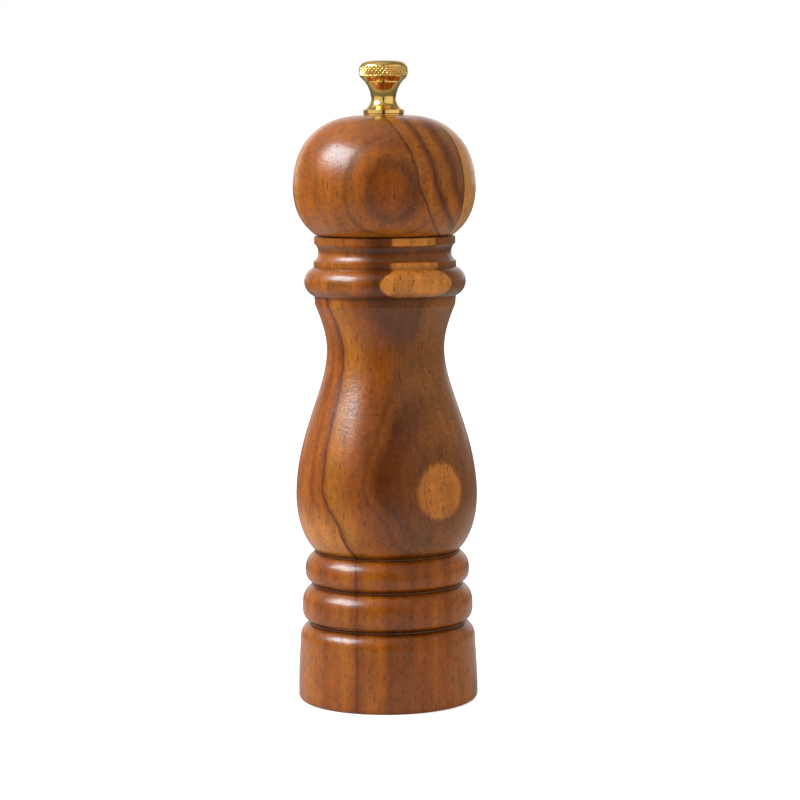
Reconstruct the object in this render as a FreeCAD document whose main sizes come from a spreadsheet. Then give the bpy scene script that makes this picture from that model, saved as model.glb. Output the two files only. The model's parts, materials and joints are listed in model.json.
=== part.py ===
"""Turned wooden pepper mill with a brass adjusting knob and a steel burr grinder.

Units are millimetres. The frame has +Z up and its origin on the surface that the mill stands on, at the
centre of the foot. Every sub-part is an object of one document, bound to the sheet named Sizes, and is
written to parts/NODE.step in its place in the assembled mill, at the coarsest grind setting.
"""
import FreeCAD, Part
import math
import os
import Sketcher

NAME_LIMIT = 60
LEAST_CUT = 0.001
ORIGIN_POINT = (-1, 1)
HORIZONTAL_AXIS = -1
VERTICAL_AXIS = -2
START, END, CENTRE = 1, 2, 3


# --------------------------------------------------------------------------- driving dimensions

SIZES = {
    "outside of the wooden body": {
        "foot_flat_radius": 24.0,
        "foot_edge_height": 1.5,
        "foot_edge_bend": 1.55,
        "base_radius": 25.4,
        "base_shoulder_radius": 24.8,
        "base_shoulder_height": 16.4,
        "base_side_bow": 180.0,
        "quirk_depth": 0.35,
        "quirk_height": 0.5,
        "groove_low_radius": 21.9,
        "groove_low_height": 21.9,
        "groove_mid_radius": 21.0,
        "groove_mid_height": 32.8,
        "groove_high_radius": 20.3,
        "groove_high_height": 42.1,
        "neck_radius": 19.7,
        "neck_height": 112.1,
        "collar_root_radius": 19.9,
        "collar_root_height": 114.5,
        "collar_top_height": 122.5,
        "collar_bend": 4.3,
        "ring_radius": 20.0,
        "ring_top_height": 124.4,
        "cove_top_height": 129.1,
        "cove_bend": 3.2,
        "cove_step": 0.15,
        "body_rim_radius": 19.8,
        "body_height": 131.2,
    },
    "inside of the wooden body": {
        "foot_recess_radius": 19.4,
        "foot_recess_depth": 4.2,
        "mechanism_bore_radius": 13.6,
        "mechanism_bore_top": 27.0,
        "chamber_radius": 12.5,
        "socket_radius": 14.0,
        "socket_floor_height": 117.8,
        "bore_edge_chamfer": 0.6,
    },
    "wooden head": {
        "seam_gap": 0.3,
        "head_rim_radius": 19.3,
        "tenon_radius": 13.8,
        "tenon_bottom_height": 119.5,
        "head_bore_radius": 4.4,
        "knob_seat_radius": 6.2,
        "knob_seat_height": 164.6,
        "head_top_height": 164.5,
    },
    "adjusting knob and washer": {
        "knob_bottom_height": 165.05,
        "knob_flange_radius": 5.8,
        "knob_flange_height": 166.2,
        "knob_waist_radius": 3.55,
        "knob_waist_height": 170.2,
        "knob_neck_radius": 4.9,
        "knob_neck_height": 173.7,
        "knob_ridge_radius": 5.2,
        "knob_ridge_thickness": 0.4,
        "knob_grip_radius": 6.8,
        "knob_grip_low_height": 175.5,
        "knob_grip_height": 176.4,
        "overall_height": 180.0,
        "knob_thread_radius": 2.6,
        "knob_thread_top": 177.0,
        "knob_thread_cone": 1.3,
        "knob_edge": 0.2,
        "washer_radius": 5.6,
        "washer_gap": 0.025,
        "washer_thickness": 0.4,
        "washer_hole_radius": 2.75,
    },
    "drive shaft": {
        "shaft_width": 6.0,
        "shaft_corner_chamfer": 0.45,
        "square_hole_core": 1.5,
        "shaft_bottom_height": 4.7,
        "square_top_height": 161.5,
        "stud_radius": 2.5,
        "stud_relief_radius": 2.1,
        "stud_relief_length": 1.2,
        "stud_top_height": 173.6,
        "stud_chamfer": 0.6,
        "shaft_tapping_radius": 2.05,
        "shaft_tapping_top": 17.0,
    },
    "drive plate under the head": {
        "drive_plate_radius": 12.0,
        "drive_plate_thickness": 1.2,
        "drive_hole_width": 6.3,
        "drive_screw_pitch_radius": 8.4,
        "drive_screw_head_radius": 2.3,
        "drive_screw_radius": 1.2,
        "drive_screw_length": 9.0,
    },
    "grinder cage": {
        "cage_outer_radius": 13.4,
        "cage_inner_radius": 12.6,
        "cage_ring_height": 10.2,
        "cage_lip_radius": 11.9,
        "cage_lip_thickness": 1.0,
        "cage_leg_width": 4.4,
        "cage_leg_inset": 0.2,
        "cage_arm_overlap": 1.0,
        "cage_top_height": 26.6,
        "cage_arm_height": 24.6,
        "hub_radius": 7.2,
        "hub_bore_radius": 5.35,
        "hub_bottom_height": 23.1,
    },
    "guide bush": {
        "bush_flange_radius": 6.5,
        "bush_flange_thickness": 1.0,
        "bush_bottom_height": 22.0,
        "bush_sleeve_radius": 5.25,
        "bush_top_height": 28.0,
        "bush_hole_width": 6.2,
    },
    "spring": {
        "spring_wire_radius": 0.45,
        "spring_mean_radius": 5.3,
        "spring_turns": 5.0,
        "spring_washer_radius": 6.2,
        "spring_washer_thickness": 0.6,
        "spring_washer_hole_radius": 4.15,
    },
    "outer grinder": {
        "outer_grinder_radius": 12.45,
        "outer_grinder_bottom": 4.25,
        "outer_grinder_top": 13.2,
        "outer_mouth_radius": 11.1,
        "outer_throat_radius": 9.45,
        "outer_throat_height": 9.2,
        "outer_funnel_radius": 11.6,
    },
    "inner grinder": {
        "inner_grinder_bottom": 4.6,
        "inner_base_radius": 10.2,
        "inner_shoulder_radius": 9.2,
        "inner_shoulder_height": 7.6,
        "inner_tip_radius": 6.2,
        "inner_tip_height": 13.0,
        "inner_grinder_top": 14.0,
        "inner_hole_width": 6.15,
        "tooth_depth": 0.55,
        "tooth_width": 1.1,
        "fine_teeth": 36.0,
        "flute_depth": 1.5,
        "flute_width": 3.4,
        "flutes": 8.0,
        "funnel_flutes": 12.0,
        "funnel_flute_width": 1.7,
        "tooth_twist": 7.0,
        "flute_twist": 24.0,
        "cut_overrun": 0.4,
    },
    "rotor screw and washer": {
        "rotor_washer_radius": 5.6,
        "rotor_washer_thickness": 0.8,
        "rotor_washer_hole_radius": 2.2,
        "rotor_screw_head_radius": 3.6,
        "rotor_screw_face_radius": 2.16,
        "rotor_screw_head_height": 2.0,
        "rotor_screw_radius": 2.0,
        "rotor_screw_length": 12.0,
    },
    "mounting plate and wood screws": {
        "plate_radius": 19.1,
        "plate_thickness": 1.2,
        "plate_hole_radius": 11.4,
        "plate_screw_pitch_radius": 16.3,
        "plate_screw_head_radius": 2.5,
        "plate_screw_radius": 1.4,
        "plate_screw_length": 12.0,
        "screw_clearance": 0.05,
        "screw_tip_length": 2.2,
        "cross_slot_width": 0.8,
        "cross_slot_depth": 0.9,
        "cross_slot_reach": 1.28,
    },
}

# Control points of the curved stretches: a name, the radius and the height of each.
CURVES = {
    "shoulder": (("rise", 24.8, 17.8), ("turn", 25.0, 20.6)),
    "low_bead": (("under", 24.1, 23.5), ("crown", 24.2, 26.9), ("over", 24.0, 31.0)),
    "high_bead": (("under", 22.7, 34.4), ("crown", 23.6, 36.2), ("over", 22.9, 40.7)),
    "belly": (("root", 23.0, 45.4), ("swell", 25.4, 51.8), ("full", 25.8, 61.0), ("high", 24.1, 72.0),
              ("slope", 20.1, 84.0), ("waist", 16.6, 94.0), ("neck", 16.1, 103.5), ("flare", 19.0, 110.4)),
    "head": (("root", 23.4, 134.5), ("full", 26.3, 142.1), ("high", 25.1, 152.1), ("shoulder", 21.1, 160.3),
             ("dome", 11.3, 165.7)),
    "knob_stem": (("foot", 3.6, 167.2), ("thin", 3.3, 169.0)),
    "knob_neck": (("rise", 3.7, 171.6), ("flare", 4.4, 172.9)),
    "knob_top": (("side", 6.9, 178.2), ("edge", 6.0, 179.9), ("crown", 2.8, 180.0)),
}
SCREW_COUNT = 3
DRIVE_SCREW_COUNT = 2
CAGE_LEG_COUNT = 3


class Size:
    """A number together with the sheet expression that gives it, so that a sketch can follow the sheet."""

    def __init__(self, value, text):
        self.value = value
        self.text = text

    def __add__(self, other):
        return Size(self.value + value_of(other), f"({self.text} + {text_of(other)})")

    def __sub__(self, other):
        return Size(self.value - value_of(other), f"({self.text} - {text_of(other)})")

    def __mul__(self, other):
        return Size(self.value * value_of(other), f"({self.text} * {text_of(other)})")

    def __truediv__(self, other):
        return Size(self.value / value_of(other), f"({self.text} / {text_of(other)})")


ZERO = Size(0.0, "0")


def value_of(size):
    """The plain number of a Size or of a number."""
    return size.value if isinstance(size, Size) else float(size)


def text_of(size):
    """The expression of a Size or of a number."""
    return size.text if isinstance(size, Size) else str(size)


def make_sheet(doc):
    """Write every driving dimension to the sheet Sizes and return them by name."""
    sheet = doc.addObject("Spreadsheet::Sheet", "Sizes")
    cells = dict()
    for title, group in SIZES.items():
        cells.update({name: (value, title) for name, value in group.items()})
    for curve, poles in CURVES.items():
        for point, radius, height in poles:
            cells[f"{curve}_{point}_radius"] = (radius, f"control point of the {curve} curve")
            cells[f"{curve}_{point}_height"] = (height, f"control point of the {curve} curve")
    for row, (name, (value, title)) in enumerate(cells.items(), start=1):
        sheet.set(f"A{row}", name)
        sheet.set(f"B{row}", str(value))
        sheet.setAlias(f"B{row}", name)
        sheet.set(f"C{row}", title)
    return {name: Size(value, f"Sizes.{name}") for name, (value, title) in cells.items()}


# --------------------------------------------------------------------------- drawing helpers

def origin_feature(body, role):
    """The origin plane or axis of a body, found by its role."""
    return next(item for item in body.Origin.OriginFeatures if item.Role == role)


def new_body(label):
    """An empty PartDesign body for one sub-part."""
    body = doc.addObject("PartDesign::Body", label)
    body.Label = label
    return body


def new_sketch(body, name, role, height=None, turn=None):
    """A sketch on an origin plane of its own body, lifted to a height and turned about the normal."""
    sketch = body.newObject("Sketcher::SketchObject", f"{body.Label}_{name}")
    sketch.AttachmentSupport = [(origin_feature(body, role), "")]
    sketch.MapMode = "FlatFace"
    if height is not None:
        sketch.AttachmentOffset = FreeCAD.Placement(
            FreeCAD.Vector(0, 0, height.value),
            FreeCAD.Rotation(FreeCAD.Vector(0, 0, 1), value_of(turn or 0)))
        sketch.setExpression(".AttachmentOffset.Base.z", height.text)
    if isinstance(turn, Size):
        sketch.setExpression(".AttachmentOffset.Rotation.Angle", turn.text)
    return sketch


def constrain(sketch, kind, *arguments):
    """Add a constraint; a Size as its last argument binds it to the sheet."""
    last = arguments[-1]
    if isinstance(last, Size):
        index = sketch.addConstraint(Sketcher.Constraint(kind, *arguments[:-1], last.value))
        sketch.setExpression(f"Constraints[{index}]", last.text)
    else:
        sketch.addConstraint(Sketcher.Constraint(kind, *arguments))


def vector(point):
    """The sketch position of a (radius, height) pair."""
    return FreeCAD.Vector(value_of(point[0]), value_of(point[1]), 0)


def place_point(sketch, geometry, corner, point):
    """Fix a point of a sketch by its distances from the sketch's origin."""
    across = ("DistanceX", VERTICAL_AXIS, point[0])
    up = ("DistanceY", HORIZONTAL_AXIS, point[1])
    for kind, axis, size in (across, up):
        if size.value == 0:
            constrain(sketch, "PointOnObject", geometry, corner, axis)
        else:
            constrain(sketch, kind, *ORIGIN_POINT, geometry, corner, size)


class Outline:
    """A closed outline in one sketch, drawn piece by piece from a starting point."""

    def __init__(self, sketch, x, y):
        self.sketch = sketch
        self.start = (x, y)
        self.here = self.start
        self.first = None
        self.last = None

    def add(self, shape, end, straight=False, corners=(START, END)):
        """Add one piece, join it to the piece before it and fix its end; corners names its two ends."""
        before = self.here
        piece = self.sketch.addGeometry(shape, False)
        if self.last is None:
            self.first = (piece, corners[0])
            place_point(self.sketch, piece, corners[0], self.start)
        else:
            constrain(self.sketch, "Coincident", *self.last, piece, corners[0])
        self.last = (piece, corners[1])
        self.here = end
        if end is self.start:
            constrain(self.sketch, "Coincident", *self.last, *self.first)
        else:
            self.fix_end(end, before, straight)
        return piece

    def fix_end(self, end, before, straight):
        """Fix the last end, with Horizontal or Vertical where a straight piece keeps a coordinate."""
        rows = (("DistanceX", "Vertical", VERTICAL_AXIS, 0), ("DistanceY", "Horizontal", HORIZONTAL_AXIS, 1))
        for kind, level, axis, side in rows:
            size = end[side]
            if straight and size.text == before[side].text:
                constrain(self.sketch, level, self.last[0])
            elif size.value == 0:
                constrain(self.sketch, "PointOnObject", *self.last, axis)
            else:
                constrain(self.sketch, kind, *ORIGIN_POINT, *self.last, size)

    def line(self, x, y):
        """A straight piece to a point."""
        return self.line_to((x, y))

    def line_to(self, end):
        """A straight piece to a point given as a pair."""
        self.add(Part.LineSegment(vector(self.here), vector(end)), end, straight=True)
        return self

    def arc(self, x, y, radius, turn):
        """A circular arc to a point: turn is 1 for one that bends to the left, -1 to the right."""
        first, last = vector(self.here), vector((x, y))
        chord = last - first
        side = FreeCAD.Vector(-chord.y, chord.x, 0).normalize() * turn
        reach = math.sqrt(max(radius.value ** 2 - (chord.Length / 2) ** 2, 0.0))
        centre = (first + last) / 2 + side * reach
        angles = [math.atan2(point.y - centre.y, point.x - centre.x) for point in (first, last)]
        low, high = angles if turn > 0 else reversed(angles)
        circle = Part.Circle(centre, FreeCAD.Vector(0, 0, 1), radius.value)
        corners = (START, END) if turn > 0 else (END, START)
        piece = self.add(Part.ArcOfCircle(circle, low, high), (x, y), corners=corners)
        constrain(self.sketch, "Radius", piece, radius)
        return self

    def curve(self, poles, x, y):
        """A smooth cubic curve through the frame of its control points, ending at a point."""
        points = [vector(self.here)] + [vector(pole) for pole in poles] + [vector((x, y))]
        spans = len(points) - 3
        spline = Part.BSplineCurve()
        repeats = [4] + [1] * (spans - 1) + [4]
        spline.buildFromPolesMultsKnots(points, repeats, list(range(spans + 1)), False, 3)
        piece = self.add(spline, (x, y))
        self.sketch.exposeInternalGeometry(piece)
        for number, pole in enumerate(poles, start=2):
            place_point(self.sketch, piece + number, CENTRE, pole)
        return self

    def close(self):
        """A straight piece back to the starting point."""
        return self.line_to(self.start)


def poles_of(curve):
    """The control points of a named curve, as pairs of sizes."""
    names = [f"{curve}_{point}" for point, radius, height in CURVES[curve]]
    return [(s[f"{name}_radius"], s[f"{name}_height"]) for name in names]


def revolve(body, sketch):
    """Turn a half outline right round the Z axis."""
    turned = body.newObject("PartDesign::Revolution", f"{sketch.Label}_revolution")
    turned.Profile = sketch
    turned.ReferenceAxis = (sketch, ["V_Axis"])
    turned.Angle = 360.0
    doc.recompute()


def checked_cut(body, before, feature):
    """Raise an error when a cut has taken nothing away."""
    doc.recompute()
    if body.Shape.Volume > before - LEAST_CUT:
        raise RuntimeError(f"{feature.Label} cuts nothing from {body.Label}")


def pad(body, sketch, length, name):
    """Extrude a sketch by a length."""
    feature = body.newObject("PartDesign::Pad", f"{body.Label}_{name}")
    feature.Profile = sketch
    feature.Length = length.value
    feature.setExpression("Length", length.text)
    doc.recompute()
    return feature


def pocket(body, sketch, length, name):
    """Cut a sketch into the body by a length, upwards from the sketch's plane."""
    before = body.Shape.Volume
    feature = body.newObject("PartDesign::Pocket", f"{body.Label}_{name}")
    feature.Profile = sketch
    feature.Length = length.value
    feature.setExpression("Length", length.text)
    feature.Reversed = True
    checked_cut(body, before, feature)
    return feature


def polar_pattern(body, feature, count, name):
    """Repeat a feature evenly round the Z axis."""
    pattern = body.newObject("PartDesign::PolarPattern", f"{body.Label}_{name}")
    pattern.Originals = [feature]
    pattern.Axis = (origin_feature(body, "Z_Axis"), [""])
    pattern.Angle = 360.0
    pattern.Occurrences = int(value_of(count))
    if isinstance(count, Size):
        pattern.setExpression("Occurrences", count.text)
    body.Tip = pattern
    doc.recompute()
    return pattern


def circle_sketch(body, name, height, radius, x=ZERO):
    """A sketch on the XY plane with one circle centred on the X axis."""
    sketch = new_sketch(body, name, "XY_Plane", height)
    circle = Part.Circle(FreeCAD.Vector(x.value, 0, 0), FreeCAD.Vector(0, 0, 1), radius.value)
    piece = sketch.addGeometry(circle)
    constrain(sketch, "Radius", piece, radius)
    place_point(sketch, piece, CENTRE, (x, ZERO))
    return sketch


def square_sketch(body, name, height, width, chamfer=None):
    """A sketch on the XY plane with a square about the Z axis, its corners cut off by a chamfer."""
    sketch = new_sketch(body, name, "XY_Plane", height)
    half = width / 2
    low = ZERO - half
    if chamfer is None:
        outline = Outline(sketch, low, low)
        outline.line(half, low).line(half, half).line(low, half).close()
        return sketch
    inner, outer = half - chamfer, low + chamfer
    outline = Outline(sketch, outer, low)
    outline.line(inner, low).line(half, outer).line(half, inner).line(inner, half)
    outline.line(outer, half).line(low, inner).line(low, outer).close()
    return sketch


def square_hole(body, name, bottom, top, width):
    """A square hole along the Z axis between two heights."""
    return pocket(body, square_sketch(body, f"{name}_sketch", bottom, width), top - bottom, name)


def round_hole(body, name, bottom, top, radius, x=ZERO):
    """A round hole parallel to the Z axis between two heights."""
    return pocket(body, circle_sketch(body, f"{name}_sketch", bottom, radius, x), top - bottom, name)


def turned_part(label, draw):
    """A body turned about the Z axis; draw receives a function that starts its outline."""
    body = new_body(label)
    sketch = new_sketch(body, "outline", "XZ_Plane")
    draw(lambda x, y: Outline(sketch, x, y))
    revolve(body, sketch)
    return body


def ring_part(label, inner, outer, bottom, top):
    """A plain flat ring or washer."""
    def draw(start):
        start(inner, bottom).line(outer, bottom).line(outer, top).line(inner, top).close()
    return turned_part(label, draw)


def triangle_sketch(body, name, height, turn, root, tip, width):
    """A V section lying across the X axis: its mouth at radius root and its point at radius tip."""
    sketch = new_sketch(body, name, "XY_Plane", height, turn)
    half = width / 2
    outline = Outline(sketch, tip, ZERO)
    outline.line(root, half).line(root, ZERO - half).close()
    return sketch


def tapered_grooves(body, name, low, high, twist, count, width):
    """V grooves round a cone: low and high are (height, root radius, tip radius) of the two ends."""
    before = body.Shape.Volume
    half_twist = twist / 2
    lower = triangle_sketch(body, f"{name}_low", low[0], ZERO - half_twist, low[1], low[2], width)
    upper = triangle_sketch(body, f"{name}_high", high[0], half_twist, high[1], high[2], width)
    groove = body.newObject("PartDesign::SubtractiveLoft", f"{body.Label}_{name}")
    groove.Profile = lower
    groove.Sections = [upper]
    checked_cut(body, before, groove)
    polar_pattern(body, groove, count, f"{name}_pattern")


# --------------------------------------------------------------------------- wooden parts

def make_wooden_body():
    """The turned body: foot, two beads, belly, waist and collar, bored from both ends."""
    body = new_body("wooden_body")
    grooves = [(s[f"groove_{level}_radius"], s[f"groove_{level}_height"]) for level in ("low", "mid", "high")]
    edge, depth, step = s["bore_edge_chamfer"], s["quirk_depth"], s["cove_step"]
    outline = Outline(new_sketch(body, "outline", "XZ_Plane"), s["foot_recess_radius"], ZERO)
    outline.line(s["foot_flat_radius"], ZERO)
    outline.arc(s["base_radius"], s["foot_edge_height"], s["foot_edge_bend"], 1)
    outline.arc(s["base_shoulder_radius"], s["base_shoulder_height"], s["base_side_bow"], 1)
    curves = ("shoulder", "low_bead", "high_bead")
    for curve, (radius, height) in zip(curves, grooves):
        outline.curve(poles_of(curve), radius + depth, height)
        outline.line(radius, height)
        outline.line(radius + depth / 2, height + depth / 2)
        outline.line(radius + depth / 2, height + s["quirk_height"])
        outline.line(radius, height + s["quirk_height"])
    outline.curve(poles_of("belly"), s["neck_radius"], s["neck_height"])
    outline.line(s["collar_root_radius"], s["collar_root_height"])
    outline.arc(s["ring_radius"], s["collar_top_height"], s["collar_bend"], 1)
    outline.line(s["ring_radius"], s["ring_top_height"] - step)
    outline.line(s["ring_radius"] - step, s["ring_top_height"])
    outline.line(s["ring_radius"] - step * 2, s["ring_top_height"])
    outline.arc(s["body_rim_radius"] - step, s["cove_top_height"], s["cove_bend"], -1)
    outline.line(s["body_rim_radius"], s["cove_top_height"])
    outline.line(s["body_rim_radius"], s["body_height"] - step)
    outline.line(s["body_rim_radius"] - step, s["body_height"])
    outline.line(s["socket_radius"] + edge, s["body_height"])
    outline.line(s["socket_radius"], s["body_height"] - edge)
    outline.line(s["socket_radius"], s["socket_floor_height"])
    outline.line(s["chamber_radius"], s["socket_floor_height"])
    outline.line(s["chamber_radius"], s["mechanism_bore_top"])
    outline.line(s["mechanism_bore_radius"], s["mechanism_bore_top"])
    outline.line(s["mechanism_bore_radius"], s["foot_recess_depth"])
    outline.line(s["foot_recess_radius"], s["foot_recess_depth"])
    outline.close()
    revolve(body, outline.sketch)
    pilot_top = s["foot_recess_depth"] + s["plate_screw_length"]
    pilot = round_hole(body, "pilot", s["foot_recess_depth"], pilot_top,
                       s["plate_screw_radius"] + s["screw_clearance"], s["plate_screw_pitch_radius"])
    polar_pattern(body, pilot, SCREW_COUNT, "pilots")
    return body


def make_wooden_head():
    """The onion-shaped head with the tenon that turns in the body's socket."""
    body = new_body("wooden_head")
    bottom = s["body_height"] + s["seam_gap"]
    edge = s["bore_edge_chamfer"]
    outline = Outline(new_sketch(body, "outline", "XZ_Plane"), ZERO, s["tenon_bottom_height"])
    outline.line(s["tenon_radius"] - edge, s["tenon_bottom_height"])
    outline.line(s["tenon_radius"], s["tenon_bottom_height"] + edge)
    outline.line(s["tenon_radius"], bottom)
    outline.line(s["head_rim_radius"], bottom)
    outline.curve(poles_of("head"), ZERO, s["head_top_height"])
    outline.close()
    revolve(body, outline.sketch)
    round_hole(body, "bore", s["tenon_bottom_height"], s["overall_height"], s["head_bore_radius"])
    round_hole(body, "knob_seat", s["knob_seat_height"], s["overall_height"], s["knob_seat_radius"])
    pilot_top = s["tenon_bottom_height"] + s["drive_screw_length"]
    pilot = round_hole(body, "pilot", s["tenon_bottom_height"], pilot_top,
                       s["drive_screw_radius"] + s["screw_clearance"], s["drive_screw_pitch_radius"])
    polar_pattern(body, pilot, DRIVE_SCREW_COUNT, "pilots")
    return body


# --------------------------------------------------------------------------- knob

def make_knob():
    """The turned brass knob, tapped from below for the shaft's threaded stud."""
    def draw(start):
        edge = s["knob_edge"]
        outline = start(s["knob_thread_radius"], s["knob_bottom_height"])
        outline.line(s["knob_flange_radius"] - edge, s["knob_bottom_height"])
        outline.line(s["knob_flange_radius"], s["knob_bottom_height"] + edge)
        outline.line(s["knob_flange_radius"], s["knob_flange_height"])
        outline.curve(poles_of("knob_stem"), s["knob_waist_radius"], s["knob_waist_height"])
        outline.curve(poles_of("knob_neck"), s["knob_neck_radius"], s["knob_neck_height"])
        ridge_top = s["knob_neck_height"] + s["knob_ridge_thickness"]
        outline.line(s["knob_ridge_radius"], s["knob_neck_height"] + edge / 2)
        outline.line(s["knob_ridge_radius"], ridge_top)
        outline.line(s["knob_grip_radius"] - edge, s["knob_grip_low_height"])
        outline.line(s["knob_grip_radius"], s["knob_grip_height"])
        outline.curve(poles_of("knob_top"), ZERO, s["overall_height"])
        outline.line(ZERO, s["knob_thread_top"])
        outline.line(s["knob_thread_radius"], s["knob_thread_top"] - s["knob_thread_cone"])
        outline.close()
    return turned_part("adjusting_knob", draw)


def make_knob_washer():
    """The thin brass washer between the knob and the head."""
    bottom = s["knob_seat_height"] + s["washer_gap"]
    top = bottom + s["washer_thickness"]
    return ring_part("knob_washer", s["washer_hole_radius"], s["washer_radius"], bottom, top)


# --------------------------------------------------------------------------- shaft and drive plate

def make_drive_shaft():
    """The square shaft: tapped at its foot for the rotor screw, with a threaded stud at its top."""
    body = new_body("drive_shaft")
    bottom, top = s["shaft_bottom_height"], s["square_top_height"]
    square = square_sketch(body, "square", bottom, s["shaft_width"], s["shaft_corner_chamfer"])
    pad(body, square, top - bottom, "square_bar")
    sketch = new_sketch(body, "stud_outline", "XZ_Plane")
    relief_top = top + s["stud_relief_length"]
    outline = Outline(sketch, ZERO, top - s["stud_chamfer"])
    outline.line(s["stud_relief_radius"], top - s["stud_chamfer"])
    outline.line(s["stud_relief_radius"], relief_top)
    outline.line(s["stud_radius"], relief_top + s["stud_radius"] - s["stud_relief_radius"])
    outline.line(s["stud_radius"], s["stud_top_height"] - s["stud_chamfer"])
    outline.line(s["stud_radius"] - s["stud_chamfer"], s["stud_top_height"])
    outline.line(ZERO, s["stud_top_height"])
    outline.close()
    revolve(body, sketch)
    round_hole(body, "tapping", bottom, s["shaft_tapping_top"], s["shaft_tapping_radius"])
    return body


def make_drive_plate():
    """The steel plate under the tenon whose square hole turns the shaft."""
    top = s["tenon_bottom_height"]
    bottom = top - s["drive_plate_thickness"]
    body = ring_part("drive_plate", s["square_hole_core"], s["drive_plate_radius"], bottom, top)
    square_hole(body, "drive_hole", bottom, top, s["drive_hole_width"])
    countersunk_hole(body, bottom, s["drive_screw_pitch_radius"], s["drive_screw_head_radius"],
                     s["drive_screw_radius"], s["drive_plate_thickness"], DRIVE_SCREW_COUNT)
    return body


# --------------------------------------------------------------------------- fasteners

def countersunk_hole(body, bottom, pitch, head_radius, radius, thickness, count):
    """Round holes through a plate, countersunk on its lower face, evenly spaced round the Z axis."""
    before = body.Shape.Volume
    sketch = new_sketch(body, "countersink_sketch", "XZ_Plane")
    clear = s["screw_clearance"]
    wide, narrow = head_radius + clear, radius + clear
    foot, head = (pitch, bottom), (pitch, bottom + thickness)
    axis = sketch.addGeometry(Part.LineSegment(vector(foot), vector(head)), True)
    place_point(sketch, axis, START, foot)
    place_point(sketch, axis, END, head)
    outline = Outline(sketch, pitch, bottom - clear)
    outline.line(pitch + wide, bottom - clear).line(pitch + wide, bottom)
    outline.line(pitch + narrow, bottom + wide - narrow).line(pitch + narrow, bottom + thickness + clear)
    outline.line(pitch, bottom + thickness + clear).close()
    hole = body.newObject("PartDesign::Groove", f"{body.Label}_countersink")
    hole.Profile = sketch
    hole.ReferenceAxis = (sketch, ["Axis0"])
    hole.Angle = 360.0
    checked_cut(body, before, hole)
    polar_pattern(body, hole, count, "countersinks")


def cross_recess(body, bottom):
    """A cross-shaped driver recess cut upwards into a screw head whose face is at a height."""
    half_width, reach = s["cross_slot_width"] / 2, s["cross_slot_reach"]
    for name, half_x, half_y in (("slot_x", reach, half_width), ("slot_y", half_width, reach)):
        sketch = new_sketch(body, name, "XY_Plane", bottom)
        outline = Outline(sketch, ZERO - half_x, ZERO - half_y)
        outline.line(half_x, ZERO - half_y).line(half_x, half_y).line(ZERO - half_x, half_y).close()
        pocket(body, sketch, s["cross_slot_depth"], f"{name}_cut")


def wood_screw(label, bottom, head_radius, radius, length, pitch, angle):
    """A countersunk wood screw that points up, placed on a pitch circle."""
    def draw(start):
        neck = head_radius - radius
        tip = s["screw_tip_length"]
        outline = start(ZERO, bottom)
        outline.line(head_radius, bottom).line(radius, bottom + neck)
        outline.line(radius, bottom + length - tip).line(ZERO, bottom + length).close()
    body = turned_part(label, draw)
    cross_recess(body, bottom)
    turn = FreeCAD.Rotation(FreeCAD.Vector(0, 0, 1), angle)
    body.Placement = FreeCAD.Placement(turn.multVec(FreeCAD.Vector(pitch.value, 0, 0)), turn)
    body.setExpression(".Placement.Base.x", f"{pitch.text} * cos({angle} deg)")
    body.setExpression(".Placement.Base.y", f"{pitch.text} * sin({angle} deg)")
    return body


def make_mechanism_screws():
    """Three wood screws that hold the mounting plate to the body."""
    bottom = s["foot_recess_depth"] - s["plate_thickness"]
    return [wood_screw(f"mechanism_screw_{number + 1}", bottom, s["plate_screw_head_radius"],
                       s["plate_screw_radius"], s["plate_screw_length"], s["plate_screw_pitch_radius"],
                       360.0 / SCREW_COUNT * number) for number in range(SCREW_COUNT)]


def make_drive_screws():
    """Two wood screws that hold the drive plate to the head's tenon."""
    bottom = s["tenon_bottom_height"] - s["drive_plate_thickness"]
    return [wood_screw(f"drive_plate_screw_{number + 1}", bottom, s["drive_screw_head_radius"],
                       s["drive_screw_radius"], s["drive_screw_length"], s["drive_screw_pitch_radius"],
                       360.0 / DRIVE_SCREW_COUNT * number) for number in range(DRIVE_SCREW_COUNT)]


def make_rotor_washer():
    """The washer that carries the inner grinder on the foot of the shaft."""
    top = s["inner_grinder_bottom"]
    bottom = top - s["rotor_washer_thickness"]
    return ring_part("rotor_washer", s["rotor_washer_hole_radius"], s["rotor_washer_radius"], bottom, top)


def make_rotor_screw():
    """The round-headed machine screw in the foot of the shaft."""
    head_top = s["inner_grinder_bottom"] - s["rotor_washer_thickness"]
    bottom = head_top - s["rotor_screw_head_height"]

    def draw(start):
        outline = start(ZERO, bottom)
        outline.line(s["rotor_screw_face_radius"], bottom)
        outline.arc(s["rotor_screw_head_radius"], head_top, s["rotor_screw_head_radius"], 1)
        outline.line(s["rotor_screw_radius"], head_top)
        outline.line(s["rotor_screw_radius"], head_top + s["rotor_screw_length"])
        outline.line(ZERO, head_top + s["rotor_screw_length"])
        outline.close()
    body = turned_part("rotor_screw", draw)
    cross_recess(body, bottom)
    return body


# --------------------------------------------------------------------------- grinding mechanism

def make_mounting_plate():
    """The round steel plate in the foot, open in the middle where the ground pepper falls out."""
    top = s["foot_recess_depth"]
    bottom = top - s["plate_thickness"]
    body = ring_part("mounting_plate", s["plate_hole_radius"], s["plate_radius"], bottom, top)
    countersunk_hole(body, bottom, s["plate_screw_pitch_radius"], s["plate_screw_head_radius"],
                     s["plate_screw_radius"], s["plate_thickness"], SCREW_COUNT)
    return body


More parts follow.
